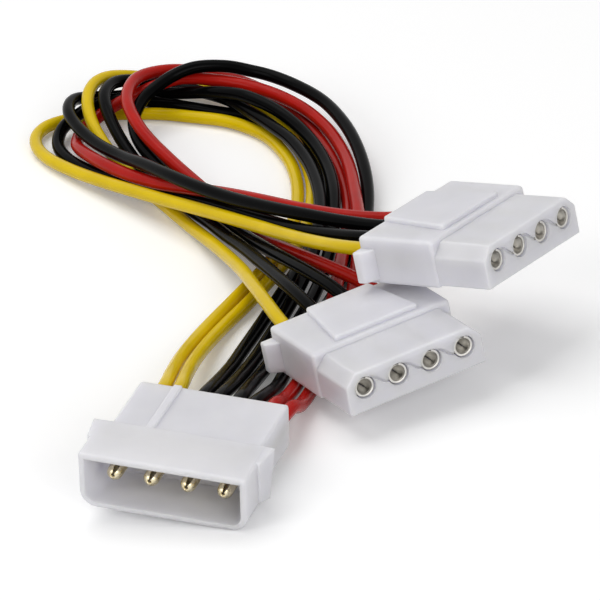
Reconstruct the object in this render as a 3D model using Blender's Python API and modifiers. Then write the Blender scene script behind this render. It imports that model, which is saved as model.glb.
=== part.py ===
"""A four-way power lead that splits in two: a pin plug, eight insulated wires and two sockets.

The lead lies loose on a table, +Z up and the table at z = 0, with its origin under the middle of the
three housings. Each housing is drawn in its own frame, with x along the row of contacts, y from the
mating face towards the wires and z up from the front bottom edge, and then takes its pose.
"""
import math

import bmesh
import bpy
from mathutils import Euler, Matrix, Vector

MM = 0.001

# Contacts and wires, shared by the three housings
WAYS = 4
PITCH = 5.08 * MM
WIRE_OD = 1.95 * MM
CORE_OD = 1.0 * MM
CORE_LENGTH = 4.0 * MM
WIRE_INSERT = 3.6 * MM
PAIR_PITCH = 2.3 * MM
CORE_PITCH = 1.9 * MM
CORE_GAP = 0.25 * MM
SHEET = 0.3 * MM
PIN_DIAMETER = 2.13 * MM
PIN_TIP_DIAMETER = 1.2 * MM
PIN_TIP_LENGTH = 0.9 * MM
SPRING_FIT = 0.27 * MM
BARREL_GAP = 0.2 * MM
SLIT_ANGLE = math.radians(40)
SHEET_SIDES = 10
TAPER = 0.9 * MM
ROUND_SIDES = 20
CORE_SIDES = 8
CUT_OVERRUN = 1.0 * MM
PIECE_GAP = 0.3 * MM

# Socket housing: a nose with two cut corners, a taller block behind it, a pad on top and two wings
NOSE_WIDTH = 20.9 * MM
NOSE_HEIGHT = 5.85 * MM
NOSE_LENGTH = 8.5 * MM
NOSE_CHAMFER = 1.7 * MM
BLOCK_WIDTH = 21.4 * MM
BLOCK_HEIGHT = 6.8 * MM
BLOCK_DROP = 0.35 * MM
SOCKET_LENGTH = 21.3 * MM
PAD_START = 9.6 * MM
PAD_FRONT_WIDTH = 12.9 * MM
PAD_REAR_WIDTH = 9.9 * MM
PAD_RISE = 0.7 * MM
WING_JUT = 1.8 * MM
WING_RAMP = 1.2 * MM
WING_LENGTH = 2.6 * MM
WING_LOW = 0.3 * MM
WING_TOP = 4.8 * MM
WING_INSET = 0.1 * MM
HOLE_HEIGHT = 3.3 * MM
HOLE_DIAMETER = 3.2 * MM
HOLE_DEPTH = 12.0 * MM
WIRE_BORE = 4.2 * MM
SPRING_INSET = 0.4 * MM
SPRING_LENGTH = 8.8 * MM
SLOT_WIDTH = 0.4 * MM
SLOT_DEPTH = 0.8 * MM
SLOT_RISE = 1.6 * MM
SLOT_HIGH = 1.15 * MM
SLOT_START_INSET = 0.55 * MM
SLOT_END_INSET = 0.15 * MM
SLOT_STEPS = 6

# Plug housing: a shroud round the pins, a lower body behind it, a flared grip on each side and a rib
PLUG_LENGTH = 20.5 * MM
BODY_LENGTH = 11.6 * MM
SHROUD_FLOOR = 0.7 * MM
SHROUD_WIDTH = 21.5 * MM
SHROUD_HEIGHT = 6.4 * MM
SHROUD_WALL = 0.85 * MM
SHROUD_LENGTH = PLUG_LENGTH - BODY_LENGTH
SHROUD_DEPTH = SHROUD_LENGTH - SHROUD_FLOOR
SHROUD_CHAMFER = 1.7 * MM
BODY_HEIGHT = 6.4 * MM
PIN_HOLE = 2.6 * MM
PIN_INSET = 2.2 * MM
PARTITION = 3.3 * MM
PAIR_CAVITY_WIDTH = 4.6 * MM
PAIR_CAVITY_HEIGHT = 3.4 * MM
END_WALL = 0.53 * MM
BODY_WIDTH = (WAYS - 1) * PITCH + PAIR_CAVITY_WIDTH + 2 * END_WALL
GRIP_START = 4.5 * MM
GRIP_FRONT_JUT = 0.6 * MM
GRIP_REAR_JUT = 1.05 * MM
GRIP_FRONT_LOW = 1.9 * MM
GRIP_REAR_LOW = 1.1 * MM
GRIP_LEAN = 1.6 * MM
GRIP_INSET = 0.15 * MM
GRIP_TOP_INSET = 0.04 * MM
RIB_PLACE = -5.0 * MM
RIB_WIDTH = 1.2 * MM
RIB_RISE = 0.5 * MM

# Edge rounding of the mouldings
SOFT_EDGE = 0.45 * MM
FINE_EDGE = 0.25 * MM
EDGE_STEPS = 2
SINK = 0.6 * MM

# Where each housing lies: its front bottom corner point, then its turn about z, x and y
LAYOUT_CENTRE = (3.63 * MM, -34.88 * MM, 0.0)
PLUG_CORNER = (-21.12 * MM, -61.78 * MM, 1.08 * MM)
PLUG_TURN = (math.radians(-22.5), math.radians(2.9), math.radians(6.3))
FRONT_CORNER = (14.41 * MM, -40.69 * MM, 4.55 * MM)
FRONT_TURN = (math.radians(24.7), math.radians(-3.0), math.radians(-3.7))
BACK_CORNER = (32.24 * MM, -26.67 * MM, 14.47 * MM)
BACK_TURN = (math.radians(49.3), math.radians(-7.8), math.radians(1.8))

# The wires' free runs from the plug to a socket, in millimetres on the same table, chosen by hand
WIRE_STEP = 4.0 * MM
CURVE_STEPS = 12
WIRE_RUNS = {
    "yellow_back": [
        (-19.5, -34.9, 6.6), (-18.5, -29, 5.5), (-17.3, -20.9, 3.5), (-15.4, -13.5, 2.1),
        (-13, -7.3, 1.4), (-9, 0.7, 1.1), (-5.2, 7.9, 1.1), (-2, 15.3, 1.1), (0, 21.8, 1.1),
        (1.3, 29.5, 1.1), (1.6, 38.3, 1.1), (0.7, 46.3, 1.1), (-1.8, 54.5, 1.1), (-4.7, 59.1, 1.1),
        (-7.9, 62.3, 1.2), (-12.6, 65.4, 1.1), (-18.9, 68.6, 1.1), (-29.2, 70.7, 1.1),
        (-34.6, 68.7, 1.3), (-36.1, 66.9, 1.3), (-36.9, 64.6, 1.3), (-36.8, 61.3, 1.2),
        (-35.3, 56.6, 1.3), (-31.6, 50, 1.7), (-26.9, 42.8, 2.5), (-22.4, 36, 3.5), (-18, 29.5, 4.5),
        (-13.5, 22.9, 5.6), (-9.2, 16.3, 6.7), (-4.9, 9.4, 7.9), (-1, 2.2, 9.4), (2.7, -5.2, 11.3),
        (6.5, -12.4, 13.4), (10.7, -18, 15)],
    "black_back_1": [
        (-14.2, -37, 5.8), (-12.5, -31.4, 4.5), (-10.5, -23.8, 2.7), (-8.5, -16.4, 1.6),
        (-5.6, -7.9, 1.1), (-2.8, -0.4, 1.1), (0, 7.1, 1.1), (2.6, 14.8, 1.1), (4.6, 22.5, 1.1),
        (5.7, 30.6, 1.1), (5.9, 38.9, 1.1), (4.7, 47.3, 1.1), (2.5, 54.2, 1.1), (-0.9, 59.7, 1.1),
        (-4.5, 63.2, 1.1), (-9.2, 66.4, 1.1), (-16.9, 70, 1.9), (-22.9, 71, 3.1), (-27, 70.1, 3.3),
        (-30.3, 68.2, 2.6), (-32.6, 65.5, 2), (-33.5, 62.6, 1.5), (-33.4, 59.5, 1.2),
        (-31.9, 55.1, 1.1), (-28.5, 49.4, 1.3), (-24, 43.4, 2.3), (-19.5, 37.3, 3.2), (-14.8, 30.7, 4),
        (-10.4, 23.7, 5.2), (-6.3, 16.5, 6.7), (-2.8, 10.2, 7.9), (1.2, 3, 9.5), (5.5, -4, 11.4),
        (10.5, -10.6, 13.4)],
    "black_back_2": [
        (-9.6, -38.8, 5.4), (-8.4, -33.2, 3.9), (-6.6, -25.5, 1.9), (-4.1, -18.3, 1.2),
        (-1.2, -10.6, 1.1), (1.5, -2.9, 1.1), (3.7, 4.9, 1.3), (5.3, 13.1, 1.7), (6.3, 21.3, 2.3),
        (6.8, 29, 2.9), (6.3, 37.6, 3.2), (4.5, 46, 3.7), (1.8, 52.4, 4.5), (-1.1, 56.9, 5.2),
        (-4.8, 61.1, 5.6), (-8.4, 64.9, 4.9), (-14, 70.5, 3.1), (-20.7, 73.8, 2.3), (-24.9, 73.8, 2.5),
        (-27.8, 72.9, 3.2), (-30.2, 70.7, 4.2), (-31.2, 68.1, 4.7), (-31.4, 64.4, 4.8),
        (-30.2, 59.4, 4.5), (-27.4, 52.4, 4.5), (-23.7, 44.6, 5.4), (-20.5, 37.8, 6.8),
        (-16.8, 30.4, 7.9), (-12.8, 23.6, 8.6), (-8.5, 17.2, 9.3), (-3.3, 10.3, 10.3), (1.8, 4.1, 11.3),
        (7.3, -1.7, 12.1), (12.6, -6.5, 12.9), (18.9, -11.7, 14.7)],
    "red_back": [
        (-3, -41.6, 4.5), (-1.6, -36.2, 2.1), (0.5, -29, 1.1), (2.5, -21.8, 1.1), (5, -13.2, 1.3),
        (6.9, -5.9, 1.7), (8.5, 2.7, 2.5), (9.4, 11, 3.2), (9.8, 18.4, 3.5), (9.8, 26.9, 3.4),
        (9.6, 35.5, 3.2), (8.9, 42.7, 3), (7.2, 50.6, 3.1), (4.1, 58, 3.5), (0.1, 63.6, 4),
        (-4.3, 67.4, 4.5), (-8.7, 69.7, 4.9), (-14, 70.7, 5.5), (-17.8, 70.2, 5), (-24.3, 68.2, 3.5),
        (-28.7, 64.9, 2.2), (-29.9, 62.8, 2), (-30.6, 59.3, 2.1), (-30.3, 55.6, 2.7),
        (-27.2, 47.2, 3.8), (-23.2, 40.3, 4.4), (-18.8, 34.1, 5.2), (-13.5, 27.4, 6.6),
        (-8.4, 20.8, 8.1), (-3.8, 14.9, 9.2), (1.5, 8.6, 10.1), (7.3, 3.1, 10.8), (12.9, -1.2, 11.6),
        (19.2, -5.5, 13.1)],
    "yellow_front": [
        (-17.4, -35.7, 6.5), (-16.5, -29.8, 5.4), (-15.2, -21.7, 3.5), (-13.3, -14.3, 2.1),
        (-10.9, -8.2, 1.4), (-7.2, -1.1, 1.1), (-3.5, 6.1, 1.1), (-0.3, 13.3, 1.1), (2, 20.9, 1.1),
        (3.5, 29.8, 1.1), (3.8, 37.6, 1.2), (3, 45.1, 1.7), (1, 53.2, 2.5), (-2, 60.3, 3.3),
        (-5.6, 67, 2.7), (-11.4, 74.3, 1.8), (-15.8, 77.2, 2.2), (-18.7, 78, 2.9), (-21.5, 77.9, 3.7),
        (-24.7, 76.3, 4.8), (-26.7, 73.9, 5.4), (-28, 70.8, 5.4), (-28.5, 67.2, 4.9),
        (-28.1, 62.3, 3.9), (-26.4, 55.9, 2.6), (-23.4, 48, 1.5), (-20.4, 40.6, 1.1),
        (-17.5, 33.4, 1.2), (-14.4, 25.3, 1.5), (-11.9, 18.1, 2.3), (-9.4, 9.6, 3.5), (-7.6, 1.8, 4.9),
        (-6.4, -5.3, 6.2), (-4.8, -13.8, 7.3), (-2.9, -21.5, 7.5)],
    "black_front_1": [
        (-12.4, -38.8, 5.9), (-10.6, -33.2, 4.6), (-8.9, -26.5, 2.9), (-6.8, -19.1, 1.6),
        (-4.7, -12.5, 1.1), (-2.2, -5.7, 1.2), (0.6, 2.1, 1.8), (2.5, 8.9, 2.4), (3.9, 16.4, 3.1),
        (4.6, 24.1, 3.3), (4.5, 31, 3.4), (3.6, 38.7, 3.5), (1.6, 46.5, 3.7), (-0.5, 51.8, 3.6),
        (-3.2, 57.9, 3.4), (-7.1, 65.5, 3.2), (-12.4, 72.3, 2.6), (-17.9, 75.5, 3), (-20.3, 75.7, 3.7),
        (-22.8, 74.6, 4.6), (-24.5, 72.6, 5.2), (-25.7, 68.9, 5.5), (-25.8, 65.3, 5.1),
        (-24.5, 58.4, 3.6), (-22.2, 51.1, 1.9), (-19.8, 44.8, 1.2), (-16.9, 37.6, 1.2),
        (-14.3, 30.7, 1.8), (-11.8, 24.1, 2.6), (-9.4, 16.8, 3.5), (-7.1, 9.7, 4.6), (-5.1, 2.5, 5.7),
        (-3.1, -5, 6.9), (-0.9, -12.7, 7.9), (1.5, -19.4, 7.9)],
    "black_front_2": [
        (-7.8, -40.6, 5.3), (-6.2, -35.2, 3.6), (-4.5, -28.5, 1.4), (-2.9, -23.1, 1.1),
        (-0.6, -16.2, 1.1), (2.3, -8.6, 1.1), (4.8, -2, 1.1), (7.4, 5.6, 1.1), (9.5, 13.3, 1.2),
        (10.9, 20.5, 1.6), (11.7, 27.9, 2.4), (11.7, 35.1, 3.3), (11, 42.3, 4), (9.6, 49.4, 4.5),
        (7, 57.4, 4.8), (3.1, 63.9, 5.1), (-0.4, 67.4, 5.6), (-3.3, 69, 6.1), (-6.8, 69.9, 6.9),
        (-11.7, 69.8, 7.4), (-15.3, 68.8, 6.8), (-18.6, 66.5, 5.8), (-20.3, 64.2, 5.2),
        (-21.6, 60.5, 4.3), (-21.6, 57.1, 3.7), (-20.9, 53.4, 3), (-18.7, 47.6, 2.1), (-16, 41, 1.3),
        (-13.1, 33.7, 1.2), (-10.7, 27.1, 1.8), (-8, 19.5, 3), (-5.8, 12.9, 4.1), (-3.2, 5.4, 5.5),
        (-0.8, -1.1, 6.7), (2.3, -8.7, 7.8), (5.2, -15.3, 8.2)],
    "red_front": [
        (-5.1, -40.6, 4.8), (-3.8, -35.1, 2.6), (-1.6, -27.8, 1.2), (0.7, -20.3, 1.2), (3, -12.6, 2),
        (5.1, -4.3, 3), (6.3, 3.4, 3.2), (7.4, 11.2, 2.7), (8.2, 19.3, 1.8), (8.6, 27, 1.3),
        (8.4, 35.4, 1.1), (7.5, 43.8, 1.1), (5.9, 52.2, 1.1), (3.7, 59.7, 1.3), (-0.1, 67.5, 1.9),
        (-4.3, 72.4, 2.7), (-8.4, 74.9, 3.5), (-12, 75.6, 4.3), (-14.8, 75.3, 5), (-17.9, 73.6, 5.8),
        (-20.4, 70.7, 6.5), (-21.7, 67.4, 6.7), (-22.3, 62.9, 6.6), (-21.8, 58.1, 6.2),
        (-20.1, 52.2, 5.2), (-16.5, 44.6, 3.7), (-12.8, 37.5, 2.5), (-9.6, 30.3, 2), (-6.8, 22.6, 2.2),
        (-4.3, 15.1, 3.3), (-1.5, 7.2, 5), (1.4, 0.4, 6.4), (5.1, -7, 7.6), (8.8, -13.4, 8.1)],
}

# The hole that each wire serves, counted along x, and its side of the pair in the plug
WIRE_PLACES = {
    "yellow_back": (0, -1), "yellow_front": (0, 1),
    "black_back_1": (1, -1), "black_front_1": (1, 1),
    "black_back_2": (2, -1), "black_front_2": (2, 1),
    "red_front": (3, -1), "red_back": (3, 1),
}

NYLON = (0.86, 0.86, 0.88)
BRASS = (0.72, 0.58, 0.30)
TIN = (0.55, 0.54, 0.52)
COPPER = (0.72, 0.38, 0.22)
INSULATION = {"yellow": (0.86, 0.66, 0.02), "black": (0.02, 0.022, 0.025), "red": (0.66, 0.06, 0.05)}


def clear_scene():
    """Start from an empty scene."""
    for item in list(bpy.data.objects):
        bpy.data.objects.remove(item, do_unlink=True)


def make_collection(name):
    """A collection under the scene."""
    group = bpy.data.collections.new(name)
    bpy.context.scene.collection.children.link(group)
    return group


def make_material(name, colour, roughness, metallic=0.0):
    """A plain surface with one colour."""
    material = bpy.data.materials.new(name)
    material.use_nodes = True
    shader = material.node_tree.nodes["Principled BSDF"]
    shader.inputs["Base Color"].default_value = (*colour, 1.0)
    shader.inputs["Roughness"].default_value = roughness
    shader.inputs["Metallic"].default_value = metallic
    return material


def hole_x(way):
    """Where a contact stands along its housing."""
    return (way - (WAYS - 1) / 2) * PITCH


def add_object(name, data, group, parent=None, material=None):
    """An object for this mesh or curve."""
    item = bpy.data.objects.new(name, data)
    group.objects.link(item)
    item.parent = parent
    if material is not None:
        data.materials.clear()
        data.materials.append(material)
    return item


def add_bevel(item, width):
    """Round an object's sharp edges, and cut its faces to triangles so that joins and cuts stay closed."""
    bevel = item.modifiers.new("edges", "BEVEL")
    bevel.width = width
    bevel.segments = EDGE_STEPS
    bevel.limit_method = "ANGLE"
    bevel.angle_limit = math.radians(25)
    item.modifiers.new("facets", "TRIANGULATE")


def extruded(name, outline, thickness, turn, group, parent):
    """A flat outline pulled out to a thickness, centred on its plane, then turned and moved."""
    curve = bpy.data.curves.new(name, "CURVE")
    curve.dimensions = "2D"
    curve.fill_mode = "BOTH"
    curve.extrude = thickness / 2
    spline = curve.splines.new("POLY")
    spline.points.add(len(outline) - 1)
    for point, (a, b) in zip(spline.points, outline):
        point.co = (a, b, 0.0, 1.0)
    spline.use_cyclic_u = True
    flat = add_object(name + "_outline", curve, group)
    shaped = bpy.data.meshes.new_from_object(flat.evaluated_get(bpy.context.evaluated_depsgraph_get()))
    bpy.data.objects.remove(flat, do_unlink=True)
    work = bmesh.new()
    work.from_mesh(shaped)
    bmesh.ops.remove_doubles(work, verts=work.verts, dist=0.00001)
    bmesh.ops.transform(work, matrix=turn, verts=work.verts)
    bmesh.ops.recalc_face_normals(work, faces=work.faces)
    work.to_mesh(shaped)
    work.free()
    return add_object(name, shaped, group, parent)


def along_y(name, outline, start, end, group, parent):
    """An x-z outline that runs from one depth to another."""
    turn = Matrix.Translation((0, (start + end) / 2, 0)) @ Matrix.Rotation(math.radians(90), 4, "X")
    return extruded(name, outline, end - start, turn, group, parent)


def along_z(name, outline, low, high, group, parent):
    """An x-y outline that runs from one height to another."""
    return extruded(name, outline, high - low, Matrix.Translation((0, 0, (low + high) / 2)), group, parent)


def along_x(name, outline, start, end, group, parent):
    """A y-z outline that runs from one side to another."""
    turn = Matrix(((0, 0, 1, (start + end) / 2), (1, 0, 0, 0), (0, 1, 0, 0), (0, 0, 0, 1)))
    return extruded(name, outline, end - start, turn, group, parent)


def drill(name, x, z, diameter, start, end, group, parent, sides=ROUND_SIDES):
    """A round bar along y, used as a cutter or as a conductor."""
    mesh = bpy.data.meshes.new(name)
    work = bmesh.new()
    bmesh.ops.create_cone(work, cap_ends=True, segments=sides, radius1=diameter / 2, radius2=diameter / 2,
                          depth=end - start)
    turn = Matrix.Translation((x, (start + end) / 2, z)) @ Matrix.Rotation(math.radians(90), 4, "X")
    bmesh.ops.transform(work, matrix=turn, verts=work.verts)
    work.to_mesh(mesh)
    work.free()
    return add_object(name, mesh, group, parent)


def combine(body, tool, operation):
    """Join or cut the body with a hidden tool."""
    tool.hide_render = True
    tool.display_type = "WIRE"
    step = body.modifiers.new(operation.lower(), "BOOLEAN")
    step.operation = operation
    step.solver = "EXACT"
    step.object = tool


def rectangle(half_width, low, high):
    """Corner points of an upright rectangle about x = 0."""
    return [(-half_width, low), (half_width, low), (half_width, high), (-half_width, high)]


def obround(centre_x, centre_z, width, height, arc_steps=8):
    """An outline with straight top and bottom and round ends."""
    radius = height / 2
    reach = width / 2 - radius
    points = []
    for side, first in ((1, -90), (-1, 90)):
        for k in range(arc_steps + 1):
            angle = math.radians(first + 180 * k / arc_steps)
            points.append((centre_x + side * reach + radius * math.cos(angle),
                           centre_z + radius * math.sin(angle)))
    return points


def slot_outline(way):
    """The thin S of a moulded slot from one hole's upper right to the next hole's lower left."""
    start = Vector((hole_x(way) + HOLE_DIAMETER / 2 - SLOT_START_INSET, HOLE_HEIGHT + SLOT_HIGH))
    end = Vector((hole_x(way + 1) - HOLE_DIAMETER / 2 + SLOT_END_INSET, HOLE_HEIGHT + SLOT_HIGH - SLOT_RISE))
    upper, lower = [], []
    for k in range(SLOT_STEPS + 1):
        part = k / SLOT_STEPS
        ease = part * part * (3 - 2 * part)
        centre = Vector((start.x + (end.x - start.x) * part, start.y + (end.y - start.y) * ease))
        slope = 6 * part * (1 - part) * (end.y - start.y) / (end.x - start.x)
        across = Vector((-slope, 1.0)).normalized() * SLOT_WIDTH / 2
        upper.append(tuple(centre + across))
        lower.append(tuple(centre - across))
    return lower + upper[::-1]


def socket_housing(name, parent, material, parts, tools):
    """One moulding with four through holes, wider at the back for the wires."""
    half = NOSE_WIDTH / 2
    nose = [(-half, 0), (half, 0), (half, NOSE_HEIGHT - NOSE_CHAMFER), (half - NOSE_CHAMFER, NOSE_HEIGHT),
            (-half + NOSE_CHAMFER, NOSE_HEIGHT), (-half, NOSE_HEIGHT - NOSE_CHAMFER)]
    body = along_y(name, nose, 0, NOSE_LENGTH + SINK, parts, parent)
    body.data.materials.append(material)
    add_bevel(body, FINE_EDGE)
    block_top = BLOCK_HEIGHT - BLOCK_DROP
    block = along_y(name + "_block", rectangle(BLOCK_WIDTH / 2, -BLOCK_DROP, block_top), NOSE_LENGTH,
                    SOCKET_LENGTH, tools, parent)
    add_bevel(block, SOFT_EDGE)
    combine(body, block, "UNION")
    near, far, pad_end = PAD_FRONT_WIDTH / 2, PAD_REAR_WIDTH / 2, SOCKET_LENGTH - FINE_EDGE
    pad_plan = [(-near, PAD_START), (near, PAD_START), (far, pad_end), (-far, pad_end)]
    pad = along_z(name + "_pad", pad_plan, block_top - SINK, block_top + PAD_RISE, tools, parent)
    add_bevel(pad, FINE_EDGE)
    combine(body, pad, "UNION")
    for side, label in ((-1, "left"), (1, "right")):
        root, tip = side * (BLOCK_WIDTH / 2 - SINK), side * (BLOCK_WIDTH / 2 + WING_JUT)
        foot = SOCKET_LENGTH - WING_LENGTH - WING_RAMP * SINK / WING_JUT
        ramp = SOCKET_LENGTH - WING_LENGTH + WING_RAMP
        rear = SOCKET_LENGTH - WING_INSET
        plan = [(root, foot), (tip, ramp), (tip, rear), (root, rear)]
        wing = along_z(f"{name}_wing_{label}", plan, WING_LOW, WING_TOP, tools, parent)
        add_bevel(wing, FINE_EDGE)
        combine(body, wing, "UNION")
    for way in range(WAYS):
        x = hole_x(way)
        front = drill(f"{name}_hole_{way}", x, HOLE_HEIGHT, HOLE_DIAMETER, -CUT_OVERRUN,
                      HOLE_DEPTH + SINK, tools, parent)
        combine(body, front, "DIFFERENCE")
        rear = drill(f"{name}_bore_{way}", x, HOLE_HEIGHT, WIRE_BORE, HOLE_DEPTH,
                     SOCKET_LENGTH + CUT_OVERRUN, tools, parent)
        combine(body, rear, "DIFFERENCE")
    for way in range(WAYS - 1):
        slot = along_y(f"{name}_slot_{way}", slot_outline(way), -CUT_OVERRUN, SLOT_DEPTH, tools, parent)
        combine(body, slot, "DIFFERENCE")
    return body


def shroud_outline(half_width, low, high, chamfer):
    """A box section with its two lower corners cut."""
    return [(-half_width + chamfer, low), (half_width - chamfer, low), (half_width, low + chamfer),
            (half_width, high), (-half_width, high), (-half_width, low + chamfer)]


def pin_height():
    """The pins stand in the middle of the shroud's opening."""
    return SHROUD_WALL + SHROUD_HEIGHT / 2


def flared_grip(name, side, root, top, group, parent):
    """A grip on the shroud's side that stands out further towards the back, with a leaning rear edge."""
    rear = SHROUD_LENGTH - GRIP_INSET
    side_view = [(GRIP_START, GRIP_FRONT_LOW), (rear - GRIP_LEAN, GRIP_REAR_LOW), (rear, top),
                 (GRIP_START, top)]
    inside, outside = side * (root - SINK), side * (root + GRIP_FRONT_JUT)
    grip = along_x(name, side_view, min(inside, outside), max(inside, outside), group, parent)
    for corner in grip.data.vertices:
        if abs(corner.co.x) > root:
            share = (corner.co.y - GRIP_START) / (rear - GRIP_START)
            corner.co.x += side * share * (GRIP_REAR_JUT - GRIP_FRONT_JUT)
    add_bevel(grip, FINE_EDGE)
    return grip


def plug_housing(name, parent, material, parts, tools):
    """The hollow shroud round the pins and the solid body that holds them."""
    outer = SHROUD_WIDTH / 2 + SHROUD_WALL
    top = SHROUD_HEIGHT + 2 * SHROUD_WALL
    body = along_y(name, shroud_outline(outer, 0, top, SHROUD_CHAMFER), 0, SHROUD_LENGTH, parts, parent)
    body.data.materials.append(material)
    add_bevel(body, SOFT_EDGE)
    rear = along_y(name + "_body", rectangle(BODY_WIDTH / 2, SHROUD_WALL, SHROUD_WALL + BODY_HEIGHT),
                   SHROUD_LENGTH - SINK, PLUG_LENGTH, tools, parent)
    add_bevel(rear, SOFT_EDGE)
    combine(body, rear, "UNION")
    for side, label in ((-1, "left"), (1, "right")):
        grip = flared_grip(f"{name}_grip_{label}", side, outer, top - GRIP_TOP_INSET, tools, parent)
        combine(body, grip, "UNION")
    inner = shroud_outline(SHROUD_WIDTH / 2, SHROUD_WALL, SHROUD_WALL + SHROUD_HEIGHT,
                           SHROUD_CHAMFER - SHROUD_WALL / 2)
    hollow = along_y(name + "_hollow", inner, -CUT_OVERRUN, SHROUD_DEPTH, tools, parent)
    combine(body, hollow, "DIFFERENCE")
    cavity_start = SHROUD_DEPTH + PARTITION
    for way in range(WAYS):
        x = hole_x(way)
        hole = drill(f"{name}_hole_{way}", x, pin_height(), PIN_HOLE, SHROUD_DEPTH - CUT_OVERRUN,
                     cavity_start + SINK, tools, parent)
        combine(body, hole, "DIFFERENCE")
        opening = obround(x, pin_height(), PAIR_CAVITY_WIDTH, PAIR_CAVITY_HEIGHT)
        cavity = along_y(f"{name}_cavity_{way}", opening, cavity_start, PLUG_LENGTH + CUT_OVERRUN, tools,
                         parent)
        combine(body, cavity, "DIFFERENCE")
    body_top = SHROUD_WALL + BODY_HEIGHT
    left, right = RIB_PLACE - RIB_WIDTH / 2, RIB_PLACE + RIB_WIDTH / 2
    near, far = SHROUD_LENGTH - SINK, PLUG_LENGTH - FINE_EDGE
    rib_plan = [(left, near), (right, near), (right, far), (left, far)]
    rib = along_z(name + "_rib", rib_plan, body_top - SINK, body_top + RIB_RISE, tools, parent)
    add_bevel(rib, FINE_EDGE)
    combine(body, rib, "UNION")
    return body


def rolled_sheet(name, stations):
    """A strip rolled to a tube with a slit on top: depth, half width and half height at each station."""
    mesh = bpy.data.meshes.new(name)
    work = bmesh.new()
    rows = []
    for y, half_width, half_height in stations:
        row = []
        for k in range(SHEET_SIDES + 1):
            angle = SLIT_ANGLE / 2 + (2 * math.pi - SLIT_ANGLE) * k / SHEET_SIDES
            row.append(work.verts.new((half_width * math.sin(angle), y, half_height * math.cos(angle))))
        rows.append(row)
    for near, far in zip(rows, rows[1:]):
        for k in range(SHEET_SIDES):
            work.faces.new((near[k], near[k + 1], far[k + 1], far[k]))
    bmesh.ops.recalc_face_normals(work, faces=work.faces)
    work.to_mesh(mesh)
    work.free()
    return mesh


def add_sheet(name, mesh, x, z, group, parent, material):
    """One contact of sheet metal in its hole."""
    item = add_object(name, mesh, group, parent, material)
    item.location = (x, 0, z)
    shell = item.modifiers.new("sheet", "SOLIDIFY")
    shell.thickness = SHEET
    shell.offset = 0.0
    shell.use_even_offset = True
    return item


def core_span(end):
    """Where a conductor starts and stops in the plug or in a socket."""
    if end == "plug":
        return SHROUD_DEPTH + PARTITION + BARREL_GAP + TAPER, PLUG_LENGTH - WIRE_INSERT - PIECE_GAP
    stop = SOCKET_LENGTH - WIRE_INSERT - PIECE_GAP
    return stop - CORE_LENGTH, stop


def spring_contact():
    """The socket's contact: a tube that the pin enters, and a narrower barrel on the conductor."""
    spring = (PIN_DIAMETER + SPRING_FIT + SHEET) / 2
    barrel = CORE_OD / 2 + CORE_GAP + SHEET / 2
    start, stop = core_span("socket")
    end = SPRING_INSET + SPRING_LENGTH
    stations = [(SPRING_INSET, spring, spring), (end, spring, spring), (end + TAPER, barrel, barrel),
                (start, barrel, barrel), (stop - PIECE_GAP, barrel, barrel)]
    return rolled_sheet("spring_contact", stations)


def pin_contact():
    """The plug's contact: a hollow pin with a round tip, opening to a flat barrel for two conductors."""
    pin = (PIN_DIAMETER - SHEET) / 2
    tip = (PIN_TIP_DIAMETER - SHEET) / 2
    wide = (CORE_PITCH + CORE_OD) / 2 + CORE_GAP + SHEET / 2
    tall = CORE_OD / 2 + 2 * CORE_GAP
    start, stop = core_span("plug")
    stations = [(PIN_INSET, tip, tip), (PIN_INSET + PIN_TIP_LENGTH / 3, 0.8 * pin, 0.8 * pin),
                (PIN_INSET + PIN_TIP_LENGTH, pin, pin), (start - TAPER, pin, pin), (start, wide, tall),
                (stop - PIECE_GAP, wide, tall)]
    return rolled_sheet("pin_contact", stations)


def place(corner, turns):
    """The pose of a housing as a matrix, from its corner on the table and its turns."""
    yaw, pitch, roll = turns
    turn = Euler((pitch, roll, yaw), "YXZ").to_matrix().to_4x4()
    return Matrix.Translation(Vector(corner) - Vector(LAYOUT_CENTRE)) @ turn


def smooth_run(points):
    """A smooth curve through the points, read at even steps."""
    ends = [2 * points[0] - points[1]] + points + [2 * points[-1] - points[-2]]
    knots = [0.0]
    for near, far in zip(ends, ends[1:]):
        knots.append(knots[-1] + math.sqrt((far - near).length))
    fine = []
    for i in range(1, len(ends) - 2):
        t0, t1, t2, t3 = knots[i - 1:i + 3]
        for k in range(CURVE_STEPS):
            t = t1 + (t2 - t1) * k / CURVE_STEPS
            a1 = ends[i - 1].lerp(ends[i], (t - t0) / (t1 - t0))
            a2 = ends[i].lerp(ends[i + 1], (t - t1) / (t2 - t1))
            a3 = ends[i + 1].lerp(ends[i + 2], (t - t2) / (t3 - t2))
            b1 = a1.lerp(a2, (t - t0) / (t2 - t0))
            b2 = a2.lerp(a3, (t - t1) / (t3 - t1))
            fine.append(b1.lerp(b2, (t - t1) / (t2 - t1)))
    fine.append(points[-1].copy())
    travelled = [0.0]
    for near, far in zip(fine, fine[1:]):
        travelled.append(travelled[-1] + (far - near).length)
    count = round(travelled[-1] / WIRE_STEP)
    run, i = [], 0
    for k in range(count):
        goal = travelled[-1] * k / count
        while travelled[i + 1] < goal:
            i += 1
        run.append(fine[i].lerp(fine[i + 1], (goal - travelled[i]) / (travelled[i + 1] - travelled[i])))
    run.append(fine[-1])
    return run


def add_wire(name, points, group, material):
    """One insulated wire as a round tube."""
    curve = bpy.data.curves.new(name, "CURVE")
    curve.dimensions = "3D"
    curve.bevel_depth = WIRE_OD / 2
    curve.bevel_resolution = 2
    curve.use_fill_caps = True
    spline = curve.splines.new("POLY")
    spline.points.add(len(points) - 1)
    for point, where in zip(spline.points, points):
        point.co = (*where, 1.0)
    return add_object(name, curve, group, None, material)


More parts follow.
